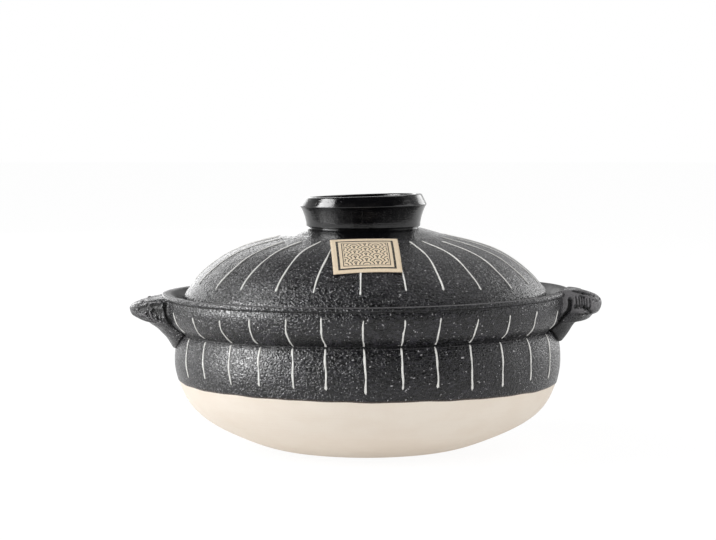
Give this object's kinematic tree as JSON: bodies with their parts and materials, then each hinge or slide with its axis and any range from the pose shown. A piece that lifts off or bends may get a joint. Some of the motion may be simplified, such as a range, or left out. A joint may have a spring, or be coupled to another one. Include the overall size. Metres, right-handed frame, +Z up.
{
  "type": "lidded clay cooking pot",
  "caption": "Round stoneware casserole with a domed lift-off lid, a hollow ring knob and lug handles, for cooking over a flame and serving.",
  "frame": {"origin": "middle of the foot, on the plane that the pot stands on", "axes": "+Z up along the pot's turning axis, +X towards the right handle, the label faces -Y"},
  "size_m": [0.326, 0.2802, 0.1754],
  "materials": {
    "bare_clay": "unglazed, fine sandy",
    "matt_black_glaze": "matt, pitted",
    "gloss_black_glaze": "glossy",
    "white_slip": "matt, raised",
    "kraft_paper": "uncoated"
  },
  "bodies": {
    "pot": {"pot_bowl": "bare_clay", "left_handle": "matt_black_glaze", "right_handle": "matt_black_glaze", "pot_outer_glaze": "matt_black_glaze", "gallery_glaze": "gloss_black_glaze", "pot_inner_glaze": "gloss_black_glaze", "pot_wall_slip_lines": "white_slip", "pot_flare_slip_lines": "white_slip"},
    "lid": {"lid_dome": "bare_clay", "knob_ring": "gloss_black_glaze", "lid_outer_glaze": "matt_black_glaze", "lid_inner_glaze": "gloss_black_glaze", "lid_slip_lines": "white_slip", "label": "kraft_paper"}
  },
  "joints": [
    {"name": "lid_lift", "type": "slide", "parent": "pot", "child": "lid", "axis": [0, 0, 1], "range_m": [0, 0.16]}
  ]
}
